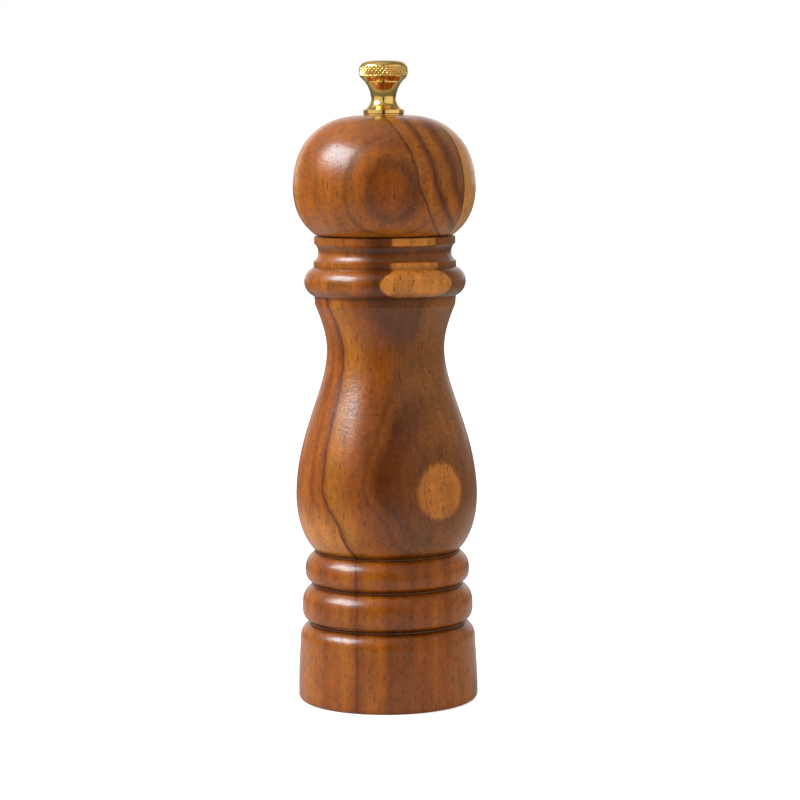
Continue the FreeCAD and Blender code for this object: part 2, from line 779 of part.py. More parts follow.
def make_grinder_housing():
    """The cage round the grinders: a ring, three legs and a hub that guides the shaft."""
    bottom = s["foot_recess_depth"]
    ring_top = bottom + s["cage_ring_height"]
    lip_bottom = ring_top - s["cage_lip_thickness"]

    def draw(start):
        outline = start(s["cage_inner_radius"], bottom)
        outline.line(s["cage_outer_radius"], bottom).line(s["cage_outer_radius"], ring_top)
        outline.line(s["cage_lip_radius"], ring_top).line(s["cage_lip_radius"], lip_bottom)
        outline.line(s["cage_inner_radius"], lip_bottom).close()
    body = turned_part("grinder_housing", draw)
    spider = new_sketch(body, "spider_outline", "XZ_Plane")
    inset = s["cage_leg_inset"]
    leg_outside, leg_inside = s["cage_outer_radius"] - inset, s["cage_lip_radius"] + inset
    arm_end = s["hub_bore_radius"] + s["cage_arm_overlap"]
    outline = Outline(spider, leg_inside, lip_bottom)
    outline.line(leg_outside, lip_bottom).line(leg_outside, s["cage_top_height"])
    outline.line(arm_end, s["cage_top_height"]).line(arm_end, s["cage_arm_height"])
    outline.line(leg_inside, s["cage_arm_height"]).close()
    leg = pad(body, spider, s["cage_leg_width"], "leg")
    leg.Midplane = True
    doc.recompute()
    polar_pattern(body, leg, CAGE_LEG_COUNT, "legs")
    hub = new_sketch(body, "hub_outline", "XZ_Plane")
    outline = Outline(hub, s["hub_bore_radius"], s["hub_bottom_height"])
    outline.line(s["hub_radius"], s["hub_bottom_height"]).line(s["hub_radius"], s["cage_top_height"])
    outline.line(s["hub_bore_radius"], s["cage_top_height"]).close()
    revolve(body, hub)
    return body


def make_guide_bush():
    """The nylon bush that turns in the hub, with a square hole for the shaft."""
    def draw(start):
        bottom = s["bush_bottom_height"]
        flange_top = bottom + s["bush_flange_thickness"]
        outline = start(s["square_hole_core"], bottom)
        outline.line(s["bush_flange_radius"], bottom).line(s["bush_flange_radius"], flange_top)
        outline.line(s["bush_sleeve_radius"], flange_top).line(s["bush_sleeve_radius"], s["bush_top_height"])
        outline.line(s["square_hole_core"], s["bush_top_height"]).close()
    body = turned_part("guide_bush", draw)
    square_hole(body, "shaft_hole", s["bush_bottom_height"], s["bush_top_height"], s["bush_hole_width"])
    return body


def make_outer_grinder():
    """The fixed grinding ring: a funnel above a throat, toothed on the inside."""
    body = new_body("outer_grinder")
    sketch = new_sketch(body, "outline", "XZ_Plane")
    outline = Outline(sketch, s["outer_mouth_radius"], s["outer_grinder_bottom"])
    outline.line(s["outer_grinder_radius"], s["outer_grinder_bottom"])
    outline.line(s["outer_grinder_radius"], s["outer_grinder_top"])
    outline.line(s["outer_funnel_radius"], s["outer_grinder_top"])
    outline.line(s["outer_throat_radius"], s["outer_throat_height"])
    outline.close()
    revolve(body, sketch)
    depth, over = s["tooth_depth"], s["cut_overrun"]
    throat = s["outer_throat_radius"]
    low = (s["outer_grinder_bottom"] - over, s["outer_mouth_radius"] - depth, s["outer_mouth_radius"] + depth)
    high = (s["outer_throat_height"] + over, throat - depth, throat + depth)
    tapered_grooves(body, "teeth", low, high, s["tooth_twist"], s["fine_teeth"], s["tooth_width"])
    low = (s["outer_throat_height"], throat - depth, throat + depth)
    high = (s["outer_grinder_top"] + over, s["outer_funnel_radius"] - depth, s["outer_funnel_radius"] + depth)
    tapered_grooves(body, "flutes", low, high, s["flute_twist"], s["funnel_flutes"], s["funnel_flute_width"])
    return body


def make_inner_grinder():
    """The turning grinder: a fluted cone above a band of fine teeth, with a square hole."""
    def draw(start):
        outline = start(s["square_hole_core"], s["inner_grinder_bottom"])
        outline.line(s["inner_base_radius"], s["inner_grinder_bottom"])
        outline.line(s["inner_shoulder_radius"], s["inner_shoulder_height"])
        outline.line(s["inner_tip_radius"], s["inner_tip_height"])
        outline.line(s["inner_tip_radius"], s["inner_grinder_top"])
        outline.line(s["square_hole_core"], s["inner_grinder_top"]).close()
    body = turned_part("inner_grinder", draw)
    square_hole(body, "shaft_hole", s["inner_grinder_bottom"], s["inner_grinder_top"], s["inner_hole_width"])
    depth, over = s["tooth_depth"], s["cut_overrun"]
    low = (s["inner_grinder_bottom"] - over, s["inner_base_radius"] + depth, s["inner_base_radius"] - depth)
    shoulder = s["inner_shoulder_radius"]
    high = (s["inner_shoulder_height"] + over, shoulder + depth, shoulder - depth)
    tapered_grooves(body, "teeth", low, high, s["tooth_twist"], s["fine_teeth"], s["tooth_width"])
    depth = s["flute_depth"]
    low = (s["inner_shoulder_height"] + over, shoulder + depth, shoulder - over)
    high = (s["inner_grinder_top"] + over, s["inner_tip_radius"] + depth, s["inner_tip_radius"] - depth)
    tapered_grooves(body, "flutes", low, high, s["flute_twist"], s["flutes"], s["flute_width"])
    return body


def make_spring_washer():
    """The flat washer between the inner grinder and the spring."""
    bottom = s["inner_grinder_top"]
    top = bottom + s["spring_washer_thickness"]
    return ring_part("spring_washer", s["spring_washer_hole_radius"], s["spring_washer_radius"], bottom, top)


def make_grinder_spring():
    """The compression spring between the guide bush and the inner grinder."""
    wire = s["spring_wire_radius"].value
    radius = s["spring_mean_radius"].value
    bottom = (s["inner_grinder_top"] + s["spring_washer_thickness"]).value + wire
    top = s["bush_bottom_height"].value - wire
    pitch = (top - bottom) / s["spring_turns"].value
    path = Part.makeHelix(pitch, top - bottom, radius)
    section = Part.Wire(Part.makeCircle(wire, FreeCAD.Vector(radius, 0, 0), FreeCAD.Vector(0, 1, 0)))
    coil = Part.Wire(path).makePipeShell([section], True, True)
    spring = doc.addObject("Part::Feature", "grinder_spring")
    spring.Shape = coil
    spring.Placement = FreeCAD.Placement(FreeCAD.Vector(0, 0, bottom), FreeCAD.Rotation())
    spring.Label = "grinder_spring"
    return spring


# --------------------------------------------------------------------------- building and writing

doc = FreeCAD.newDocument("pepper_mill")
s = make_sheet(doc)
doc.recompute()


def build():
    """Make every sub-part and return them as one list."""
    parts = [make_wooden_body(), make_wooden_head(), make_knob(), make_knob_washer()]
    parts += [make_drive_shaft(), make_drive_plate()] + make_drive_screws()
    parts += [make_guide_bush(), make_grinder_housing(), make_outer_grinder(), make_inner_grinder()]
    parts += [make_spring_washer(), make_grinder_spring(), make_rotor_washer(), make_rotor_screw()]
    parts += [make_mounting_plate()] + make_mechanism_screws()
    return parts


def check(parts):
    """Raise an error for any failed feature, loose sketch or bad solid."""
    for item in doc.Objects:
        if "Invalid" in item.State or "Error" in item.State:
            raise RuntimeError(f"{item.Label} failed: {item.State}")
        if item.TypeId == "Sketcher::SketchObject" and not item.FullyConstrained:
            raise RuntimeError(f"{item.Label} is not fully constrained")
    for part in parts:
        shape = part.Shape
        if shape.isNull() or not shape.isValid() or len(shape.Solids) != 1:
            raise RuntimeError(f"{part.Label} is not one valid solid")
        if len(part.Label) >= NAME_LIMIT:
            raise RuntimeError(f"{part.Label} is too long a name")


def write(parts):
    """Write each sub-part to a STEP file that has its name."""
    os.makedirs("parts", exist_ok=True)
    for part in parts:
        part.Shape.exportStep(os.path.join("parts", f"{part.Label}.step"))
        box = part.Shape.BoundBox
        print(f"{part.Label}: volume {part.Shape.Volume:.1f}, z {box.ZMin:.2f} to {box.ZMax:.2f}, "
              f"width {box.XLength:.2f}")


all_parts = build()
doc.recompute()
check(all_parts)
write(all_parts)
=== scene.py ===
"""Pepper mill of figured acacia wood with a knurled brass knob: its materials, detail pieces, studio and camera.

Lengths are metres, as in the frame. Inside a material, a place on a surface is in millimetres.
"""
import json
import math

import bpy
from mathutils import Matrix, Vector


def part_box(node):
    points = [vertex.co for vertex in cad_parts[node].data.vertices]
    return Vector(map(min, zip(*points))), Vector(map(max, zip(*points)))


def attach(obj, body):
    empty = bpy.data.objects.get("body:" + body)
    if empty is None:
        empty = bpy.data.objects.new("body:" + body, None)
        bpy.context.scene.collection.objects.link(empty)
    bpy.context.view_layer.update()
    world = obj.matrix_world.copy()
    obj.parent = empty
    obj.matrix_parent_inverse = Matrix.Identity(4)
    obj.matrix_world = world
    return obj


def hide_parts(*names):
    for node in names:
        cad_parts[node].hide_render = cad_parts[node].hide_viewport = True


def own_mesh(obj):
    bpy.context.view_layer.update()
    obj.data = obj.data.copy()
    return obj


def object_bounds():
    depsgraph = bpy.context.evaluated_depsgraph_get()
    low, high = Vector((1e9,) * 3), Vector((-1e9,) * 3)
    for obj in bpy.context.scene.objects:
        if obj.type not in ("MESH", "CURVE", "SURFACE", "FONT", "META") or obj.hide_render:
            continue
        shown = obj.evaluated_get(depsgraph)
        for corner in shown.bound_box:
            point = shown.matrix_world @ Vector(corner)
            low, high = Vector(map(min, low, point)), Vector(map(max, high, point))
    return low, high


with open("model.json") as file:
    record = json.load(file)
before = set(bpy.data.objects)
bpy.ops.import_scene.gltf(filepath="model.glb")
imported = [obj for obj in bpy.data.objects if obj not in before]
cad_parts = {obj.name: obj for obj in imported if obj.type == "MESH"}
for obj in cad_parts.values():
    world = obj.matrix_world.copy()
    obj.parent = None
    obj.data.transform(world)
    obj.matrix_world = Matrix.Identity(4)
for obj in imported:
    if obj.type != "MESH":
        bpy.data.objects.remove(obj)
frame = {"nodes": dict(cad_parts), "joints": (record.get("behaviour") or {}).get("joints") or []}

cad_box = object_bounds()

MM = 0.001
TURN = 2 * math.pi


# --------------------------------------------------------------------------- node materials

def rgb(red, green, blue):
    """A display colour, 0 to 255, as the linear colour that shaders take."""
    def linear(level):
        level = level / 255
        return level / 12.92 if level <= 0.04045 else ((level + 0.055) / 1.055) ** 2.4
    return (linear(red), linear(green), linear(blue), 1.0)


def plug(tree, socket, value):
    """Link a field or a node's output to a socket, or set the socket to a plain value."""
    if isinstance(value, Field):
        value = value.socket
    if isinstance(value, bpy.types.NodeSocket):
        tree.links.new(value, socket)
    else:
        socket.default_value = value


class Field:
    """A number that changes from place to place on a surface. Arithmetic on it adds Math nodes."""

    def __init__(self, tree, socket):
        self.tree = tree
        self.socket = socket

    def apply(self, operation, *others):
        node = self.tree.nodes.new("ShaderNodeMath")
        node.operation = operation
        for socket, value in zip(node.inputs, (self, *others)):
            plug(self.tree, socket, value)
        return Field(self.tree, node.outputs[0])

    def __add__(self, other):
        return self.apply("ADD", other)

    def __sub__(self, other):
        return self.apply("SUBTRACT", other)

    def __mul__(self, other):
        return self.apply("MULTIPLY", other)

    def above(self, level):
        """How far it is over a level, and 0 below it."""
        return self.apply("SUBTRACT", level).apply("MAXIMUM", 0.0)

    def step(self, low, high):
        """A soft step from 0 at low to 1 at high; low may be the larger."""
        node = self.tree.nodes.new("ShaderNodeMapRange")
        node.interpolation_type = "SMOOTHSTEP"
        first, last = (0.0, 1.0) if low < high else (1.0, 0.0)
        settings = {"Value": self, "From Min": min(low, high), "From Max": max(low, high),
                    "To Min": first, "To Max": last}
        for name, value in settings.items():
            plug(self.tree, node.inputs[name], value)
        return Field(self.tree, node.outputs["Result"])

    def span(self, low, high):
        """The field, which runs from 0 to 1, stretched to run from low to high."""
        return self * (high - low) + low


class Finish:
    """A node material: one Principled shader and the piece's own coordinates in millimetres."""

    def __init__(self, name, **settings):
        self.material = bpy.data.materials.new(name)
        self.material.use_nodes = True
        self.tree = self.material.node_tree
        self.shader = self.tree.nodes["Principled BSDF"]
        for socket, value in settings.items():
            self.shader.inputs[socket.replace("_", " ")].default_value = value
        coordinates = self.tree.nodes.new("ShaderNodeTexCoord")
        self.place = self.vector("SCALE", coordinates.outputs["Object"], 1 / MM)
        parts = self.tree.nodes.new("ShaderNodeSeparateXYZ")
        self.tree.links.new(self.place, parts.inputs[0])
        self.x, self.y, self.z = [Field(self.tree, socket) for socket in parts.outputs]

    def vector(self, operation, first, second):
        """A vector sum: operation is SCALE, ADD or DIVIDE."""
        node = self.tree.nodes.new("ShaderNodeVectorMath")
        node.operation = operation
        plug(self.tree, node.inputs[0], first)
        plug(self.tree, node.inputs["Scale" if operation == "SCALE" else 1], second)
        return node.outputs["Vector"]

    def scaled_place(self, size, seed):
        """The place divided by a feature size along each axis, and shifted by a seed."""
        return self.vector("ADD", self.vector("DIVIDE", self.place, size), (seed, seed * 1.7, seed * 2.3))

    def noise(self, size, detail=2.0, seed=0.0, distortion=0.0):
        """Cloudy noise between 0 and 1 whose features have a size in millimetres along each axis."""
        node = self.tree.nodes.new("ShaderNodeTexNoise")
        settings = {"Vector": self.scaled_place(size, seed), "Scale": 1.0, "Detail": detail,
                    "Distortion": distortion}
        for name, value in settings.items():
            plug(self.tree, node.inputs[name], value)
        return Field(self.tree, node.outputs["Fac"])

    def specks(self, size, reach, share, seed=0.0):
        """1 inside scattered long specks, one to a cell of a size, and 0 between them."""
        node = self.tree.nodes.new("ShaderNodeTexVoronoi")
        plug(self.tree, node.inputs["Vector"], self.scaled_place(size, seed))
        plug(self.tree, node.inputs["Scale"], 1.0)
        colour = self.tree.nodes.new("ShaderNodeSeparateColor")
        self.tree.links.new(node.outputs["Color"], colour.inputs[0])
        chosen = Field(self.tree, colour.outputs[0]).step(share + 0.02, share - 0.02)
        return Field(self.tree, node.outputs["Distance"]).step(reach, reach * 0.4) * chosen

    def ramp(self, field, stops):
        """A colour for each value of a field; stops are pairs of a value and a colour."""
        low, high = stops[0][0], stops[-1][0]
        node = self.tree.nodes.new("ShaderNodeMapRange")
        for name, value in {"Value": field, "From Min": low, "From Max": high}.items():
            plug(self.tree, node.inputs[name], value)
        colours = self.tree.nodes.new("ShaderNodeValToRGB")
        self.tree.links.new(node.outputs["Result"], colours.inputs["Fac"])
        elements = colours.color_ramp.elements
        elements[0].position, elements[0].color = 0.0, stops[0][1]
        elements[1].position, elements[1].color = 1.0, stops[-1][1]
        for value, colour in stops[1:-1]:
            elements.new((value - low) / (high - low)).color = colour
        return colours.outputs["Color"]

    def mix(self, factor, first, second):
        """Two colours mixed by a field."""
        node = self.tree.nodes.new("ShaderNodeMix")
        node.data_type = "RGBA"
        plug(self.tree, node.inputs["Factor"], factor)
        plug(self.tree, node.inputs["A"], first)
        plug(self.tree, node.inputs["B"], second)
        return node.outputs["Result"]

    def tinted(self, colour, field):
        """A colour made lighter or darker by a field around 1."""
        return self.vector("SCALE", colour, field)

    def colour(self, value):
        """Set the shader's colour."""
        plug(self.tree, self.shader.inputs["Base Color"], value)

    def roughness(self, value):
        """Set the shader's roughness."""
        plug(self.tree, self.shader.inputs["Roughness"], value)

    def bump(self, height, depth):
        """Let a field between 0 and 1 stand for a surface relief of a depth in metres."""
        node = self.tree.nodes.new("ShaderNodeBump")
        plug(self.tree, node.inputs["Height"], height)
        plug(self.tree, node.inputs["Distance"], depth)
        self.tree.links.new(node.outputs["Normal"], self.shader.inputs["Normal"])


# --------------------------------------------------------------------------- wood

TAN = rgb(214, 132, 46)
EYE = rgb(204, 120, 40)
HALO = rgb(136, 80, 30)
HALO_EDGE = rgb(118, 62, 10)
BROWN = rgb(138, 72, 14)
DARK_BROWN = rgb(116, 57, 8)
DARK_STRIPE = rgb(100, 48, 5)
BRIGHT_GOLD = rgb(184, 109, 20)
GOLD = rgb(170, 94, 12)
OLIVE_GOLD = rgb(156, 93, 30)
ORANGE = rgb(170, 89, 8)
DEEP_ORANGE = rgb(150, 74, 4)
SAPWOOD = rgb(210, 138, 52)
PORE = rgb(76, 38, 10)

# Depth into the log in millimetres, from its far side towards the viewer, and the colour of the wood there.
BODY_LAYERS = (
    (-27.0, ORANGE), (-22.0, DEEP_ORANGE), (-20.6, BROWN), (-19.4, ORANGE), (-15.0, GOLD), (-12.6, BROWN),
    (-11.8, ORANGE), (-8.0, ORANGE), (-5.2, GOLD), (-2.4, ORANGE), (-1.2, DEEP_ORANGE), (0.8, ORANGE),
    (2.8, DEEP_ORANGE), (3.8, DARK_STRIPE), (4.6, GOLD), (6.2, BRIGHT_GOLD), (9.7, GOLD), (13.4, DEEP_ORANGE),
    (15.4, BROWN), (16.4, DARK_BROWN), (17.2, BROWN), (19.0, DARK_STRIPE), (21.4, DARK_BROWN),
    (23.4, BROWN), (24.5, HALO), (27.0, HALO))
# The same for the beads and the base, and for the collar, counted from left to right.
BASE_LAYERS = (
    (-27.0, ORANGE), (-21.0, GOLD), (-17.5, DEEP_ORANGE), (-14.0, ORANGE), (-11.6, GOLD), (-9.0, DEEP_ORANGE),
    (-8.5, DARK_STRIPE), (-7.9, DEEP_ORANGE), (-5.6, GOLD), (-2.0, ORANGE), (0.6, DEEP_ORANGE),
    (2.0, BROWN), (3.4, DEEP_ORANGE), (5.2, BROWN), (7.8, DEEP_ORANGE), (10.5, DEEP_ORANGE), (13.5, ORANGE),
    (16.5, DEEP_ORANGE), (19.0, GOLD), (27.0, ORANGE))
COLLAR_LAYERS = (
    (-27.0, ORANGE), (-18.0, GOLD), (-12.0, GOLD), (-8.0, ORANGE), (-5.2, BROWN), (-2.5, DARK_STRIPE),
    (2.0, DARK_BROWN), (5.0, BROWN), (16.0, BROWN), (19.0, HALO), (27.0, HALO))
HEAD_LAYERS = (
    (-27.0, GOLD), (-21.0, ORANGE), (-19.6, BROWN), (-18.4, ORANGE), (-13.0, DEEP_ORANGE), (-11.6, BROWN),
    (-10.4, GOLD), (-4.0, ORANGE), (-2.6, DEEP_ORANGE), (-1.0, ORANGE), (3.0, GOLD), (4.6, TAN),
    (7.0, BRIGHT_GOLD), (8.4, ORANGE), (13.2, ORANGE), (16.6, GOLD), (19.8, ORANGE),
    (21.6, GOLD), (22.2, BROWN), (22.8, GOLD), (23.8, ORANGE), (24.4, BROWN), (24.8, DARK_BROWN),
    (25.1, BROWN), (25.4, DEEP_ORANGE), (27.0, DEEP_ORANGE))
# The same for the right of the head, where the depth is counted from the edge between its two figures.
HEAD_SIDE_LAYERS = (
    (-0.4, DARK_STRIPE), (0.2, DARK_STRIPE), (0.8, GOLD), (2.4, GOLD), (3.3, ORANGE), (4.2, BROWN),
    (5.0, DARK_STRIPE), (5.7, BROWN), (6.6, GOLD), (8.0, GOLD), (9.2, BROWN), (10.2, DARK_BROWN),
    (11.0, BROWN), (12.4, OLIVE_GOLD), (14.0, BROWN), (16.0, BROWN))
# Painted shade where shade falls in the grooves of the body, in the cove, under the collar and at the seam under
# the head: height, half width and how much light is left.
BODY_GROOVE_SHADE = ((22.5, 1.5, 0.40), (33.4, 1.4, 0.42), (42.9, 1.4, 0.42), (115.0, 1.6, 0.66),
                (122.7, 0.9, 0.75), (127.7, 1.5, 0.62), (131.6, 0.9, 0.45))


def wood_finish(name, figure, painted_groove_shade):
    """Lacquered wood: the figure of its growth layers, fibres, pores, a satin gloss and painted shade in
    grooves.
    """
    finish = Finish(name, Specular_IOR_Level=0.5)
    fibres = finish.noise((0.4, 0.4, 5.0), detail=4.0, seed=3.1)
    streaks = finish.noise((2.2, 2.2, 34.0), detail=4.0, seed=8.4)
    patches = finish.noise((6.0, 6.0, 10.0), detail=3.0, seed=5.2)
    ripples = finish.noise((1.6, 1.6, 0.7), detail=1.0, seed=7.7, distortion=0.5)
    pores = finish.specks((0.62, 0.62, 2.4), reach=0.34, share=0.6, seed=1.3)
    dashes = finish.specks((1.3, 1.3, 6.0), reach=0.26, share=0.45, seed=6.1)
    shade = fibres.span(-0.34, 0.34) + streaks.span(-0.40, 0.40)
    shade = (shade + patches.span(-0.36, 0.36) + ripples.span(-0.2, 0.2)) + 1.0
    # Painted shade: the colour is darkened towards the middle height of each groove, the cove, the collar's
    # underside and the seam.
    for height, half_width, share_left in painted_groove_shade:
        distance = (finish.z - height).apply("ABSOLUTE")
        shade = shade * distance.step(half_width, half_width * 0.25).span(1.0, share_left)
    wood = finish.tinted(figure(finish), shade)
    finish.colour(finish.mix((pores * 0.75).apply("MAXIMUM", dashes * 0.65), wood, PORE))
    finish.roughness((fibres.span(0.0, 0.06) + patches.span(0.19, 0.27)) + pores * 0.1)
    relief_depth = 0.03 * MM
    finish.bump((fibres * 0.3 + streaks * 0.2 + ripples * 1.1) - pores * 0.4, relief_depth)
    return finish.material


def body_figure(finish):
    """The body's figure: an eye of pale wood on the belly inside nested brown and golden layers."""
    x, y, z = finish.x, finish.y, finish.z
    eye_height, eye_turn = 61.5, math.radians(37.0)
    eye_half_width, eye_half_height = 7.5, 7.9
    wander = finish.noise((11.0, 11.0, 26.0), detail=2.0, seed=2.0).span(-0.9, 0.9)
    fray = finish.noise((0.9, 0.9, 5.0), detail=3.0, seed=4.0).span(-1.0, 1.0)
    jitter = wander + fray * 0.6

    # Above the eye the layers turn towards the front.
    rise = z.above(eye_height)
    lean = rise * rise * math.radians(-0.0037) + eye_turn
    depth = x * lean.apply("SINE") - y * lean.apply("COSINE")
    under_belly = z.step(63.0, 50.5) * 5.6 + z.step(50.5, 30.0) * 3.6
    depth = depth - under_belly * depth.step(8.0, 22.0).span(1.0, 0.7) + jitter
    belly = finish.ramp(depth, BODY_LAYERS)
    low_left = z.step(58.0, 48.0) * x.step(-8.0, -11.0) * y.step(4.0, -4.0) * depth.step(3.6, 2.8)
    belly = finish.mix(low_left * 0.9, belly, TAN)
    right_of_waist = x.step(-0.5, 4.5) * z.step(80.0, 92.0) * y.step(0.0, -4.0)
    belly = finish.mix(right_of_waist * 0.75, belly, HALO)
    belly = finish.mix(x.step(4.0, 18.0) * depth.step(4.0, 12.0) * 0.8, belly, OLIVE_GOLD)

    # The dark wedge at the neck points down and is on the front only.
    wedge_point, wedge_height = 3.6, 99.5
    from_middle = x - wedge_point
    wedge = z - wedge_height - from_middle * from_middle * 0.17 + jitter * 1.5 - y.step(-6.0, 4.0) * 30.0
    belly = finish.mix(wedge.step(-4.0, 6.0) * 0.7, belly, DARK_STRIPE)

    across = x * math.cos(eye_turn) + y * math.sin(eye_turn)
    wide = (across + jitter * 0.4) * (1 / eye_half_width)
    tall = (z - eye_height + fray * 1.5) * (1 / eye_half_height)
    eye = (wide * wide + tall * tall).apply("SQRT") + y.step(-8.0, 0.0) * 9.0
    belly = finish.mix(eye.step(2.1, 1.1) * 0.7, belly, HALO_EDGE)
    belly = finish.mix(eye.step(1.12, 0.86), belly, EYE)

    # The pale patch lies on the front right of the collar, the ring and the rim, and not in the cove.
    patch_turn = math.radians(25.5)
    in_cove = z.step(124.3, 124.8) - z.step(128.7, 129.0)
    patch_depth = x * math.sin(patch_turn) - y * math.cos(patch_turn) + fray * 0.2
    patch_depth = patch_depth + z.step(121.5, 123.0) * 1.2 - in_cove * 2.0
    patch = patch_depth.step(19.7, 20.1)
    collar = finish.mix(patch, finish.ramp(x + jitter, COLLAR_LAYERS), TAN)
    belly = finish.mix(z.step(114.8, 115.4), belly, collar)
    return finish.mix(z.step(43.2, 42.8), belly, finish.ramp(x + jitter * 0.8, BASE_LAYERS))


def head_figure(finish):
    """The head's figure: a bull's-eye in front, cut off on the right by darker curved stripes and sapwood."""
    x, y, z = finish.x, finish.y, finish.z
    middle, lean = 147.0, math.radians(5.5)
    sap_start, sap_end = math.radians(60.0), math.radians(105.0)
    wander = finish.noise((10.0, 10.0, 20.0), detail=2.0, seed=6.0).span(-0.25, 0.25)
    fray = finish.noise((0.9, 0.9, 5.0), detail=3.0, seed=4.0).span(-0.5, 0.5)
    jitter = wander + fray * 0.7
    off_middle = z - middle
    front = x * math.sin(lean) - y * math.cos(lean) + off_middle * off_middle * 0.01 + jitter
    crown, foot = z.above(middle + 1.0), (z * -1.0).above(1.0 - middle)
    side = x + z * 0.16 + crown * crown * 0.024 - foot * 0.22 - 32.7 + jitter
    head = finish.ramp(front, HEAD_LAYERS)
    above_eye = z.step(153.0, 157.0) * x.step(-9.0, -4.0) * y.step(0.0, -6.0)
    head = finish.mix(above_eye * 0.7, head, BROWN)
    head = finish.mix(side.step(-0.4, 0.2), head, finish.ramp(side, HEAD_SIDE_LAYERS))

    # The pale sapwood starts behind a dark line, and its front edge bends away above and below the middle.
    bend = off_middle.apply("ABSOLUTE").above(4.0)
    after_start = x * math.cos(sap_start) + y * math.sin(sap_start) + jitter - bend * bend * 0.012
    before_end = x * -math.cos(sap_end) - y * math.sin(sap_end) + jitter * 2.0
    line = after_start.step(-0.9, -0.4) * before_end.step(-0.9, -0.4)
    head = finish.mix(line, head, DARK_STRIPE)
    return finish.mix(after_start.step(-0.3, 0.3) * before_end.step(-0.3, 0.3), head, SAPWOOD)


# --------------------------------------------------------------------------- metals and nylon

def brass_finish(name, roughness):
    """Polished brass with faint turning lines and a little cloudiness."""
    finish = Finish(name, Metallic=1.0)
    clouds = finish.noise((1.6, 1.6, 0.8), detail=3.0, seed=4.0)
    lines = finish.noise((60.0, 60.0, 0.05), detail=2.0, seed=2.0)
    finish.colour(finish.mix(clouds, rgb(236, 196, 118), rgb(222, 176, 94)))
    finish.roughness(clouds.span(roughness, roughness + 0.08))
    finish.bump(lines, 0.002 * MM)
    return finish.material


def steel_finish(name, light, dark, roughness, line_size):
    """Steel whose tool marks run with a size along each axis, with darker clouds."""
    finish = Finish(name, Metallic=1.0)
    clouds = finish.noise((3.0, 3.0, 3.0), detail=4.0, seed=1.0)
    marks = finish.noise(line_size, detail=3.0, seed=7.0)
    finish.colour(finish.mix(clouds, light, dark))
    finish.roughness(clouds.span(roughness, roughness + 0.12) + marks.span(-0.04, 0.06))
    finish.bump(marks, 0.004 * MM)
    return finish.material


def nylon_finish():
    """Milky moulded nylon with a fine grain."""
    finish = Finish("nylon", Subsurface_Weight=0.15, Subsurface_Scale=0.5 * MM)
    clouds = finish.noise((2.2, 2.2, 2.2), detail=3.0, seed=3.0)
    grain = finish.noise((0.12, 0.12, 0.12), detail=2.0, seed=9.0)
    finish.colour(finish.mix(clouds, rgb(226, 222, 208), rgb(212, 206, 188)))
    finish.roughness(grain.span(0.42, 0.56))
    finish.bump(grain, 0.006 * MM)
    return finish.material


body_wood = wood_finish("body_wood", body_figure, BODY_GROOVE_SHADE)
head_wood = wood_finish("head_wood", head_figure, ())
knob_brass = brass_finish("knob_brass", 0.10)
washer_brass = brass_finish("washer_brass", 0.20)
shaft_steel = steel_finish("shaft_steel", rgb(196, 197, 199), rgb(160, 162, 166), 0.24, (0.15, 0.15, 12.0))
plated_steel = steel_finish("plated_steel", rgb(206, 207, 206), rgb(178, 180, 184), 0.22, (0.4, 0.4, 0.4))
screw_steel = steel_finish("screw_steel", rgb(200, 196, 182), rgb(170, 166, 150), 0.26, (0.2, 0.2, 0.2))
grinder_steel = steel_finish("grinder_steel", rgb(120, 120, 122), rgb(84, 85, 88), 0.34, (0.2, 0.2, 0.2))
spring_steel = steel_finish("spring_steel", rgb(188, 189, 190), rgb(150, 152, 156), 0.22, (0.1, 0.1, 0.1))
nylon = nylon_finish()

CAD_FINISHES = {
    "wooden_body": body_wood, "wooden_head": head_wood, "adjusting_knob": knob_brass,
    "knob_washer": washer_brass, "drive_shaft": shaft_steel, "drive_plate": plated_steel,
    "drive_plate_screw_1": screw_steel, "drive_plate_screw_2": screw_steel, "guide_bush": nylon,
    "grinder_housing": plated_steel, "outer_grinder": grinder_steel, "inner_grinder": grinder_steel,
    "spring_washer": spring_steel, "grinder_spring": spring_steel, "rotor_washer": plated_steel,
    "rotor_screw": screw_steel, "mounting_plate": plated_steel, "mechanism_screw_1": screw_steel,
    "mechanism_screw_2": screw_steel, "mechanism_screw_3": screw_steel}
for node, finish in CAD_FINISHES.items():
    materials = frame["nodes"][node].data.materials
    materials.clear()
    materials.append(finish)


# --------------------------------------------------------------------------- mesh pieces

def add_mesh(name, points, faces, material):
    """A smooth-shaded mesh object with its sharp edges kept."""
    mesh = bpy.data.meshes.new(name)
    mesh.from_pydata(points, [], faces)
    mesh.materials.append(material)
    mesh.shade_smooth()
    mesh.set_sharp_from_angle(angle=math.radians(38.0))
    piece = bpy.data.objects.new(name, mesh)
    bpy.context.scene.collection.objects.link(piece)
    return piece


def lathe(name, outline, segments, material, relief=None):
    """A turned solid. outline is a list of radius and height from the foot of the axis to its top."""
    points = [(0.0, 0.0, outline[0][1])]
    for radius, height in outline:
        for number in range(segments):
            turn = TURN * number / segments
            reach = radius + (relief(turn, radius, height) if relief else 0.0)
            points.append((reach * math.cos(turn), reach * math.sin(turn), height))
    points.append((0.0, 0.0, outline[-1][1]))
    faces, top = [], len(points) - 1
    for number in range(segments):
        after = (number + 1) % segments
        faces.append((0, 1 + after, 1 + number))
        for row in range(len(outline) - 1):
            low, high = 1 + row * segments, 1 + (row + 1) * segments
            faces.append((low + number, low + after, high + after, high + number))
        last = 1 + (len(outline) - 1) * segments
        faces.append((last + number, last + after, top))
    return add_mesh(name, points, faces, material)


def outer_outline(node, bore_radius):
    """The outside of a turned CAD piece, from its foot up: pairs of radius and height."""
    top, cap_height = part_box(node)[1].z, 1.0 * MM
    rings = {}
    for vertex in frame["nodes"][node].data.vertices:
        radius, height = math.hypot(vertex.co.x, vertex.co.y), round(vertex.co.z, 6)
        if radius > bore_radius or height > top - cap_height:
            rings[height] = max(rings.get(height, 0.0), radius)
    return [(rings[height], height) for height in sorted(rings)]


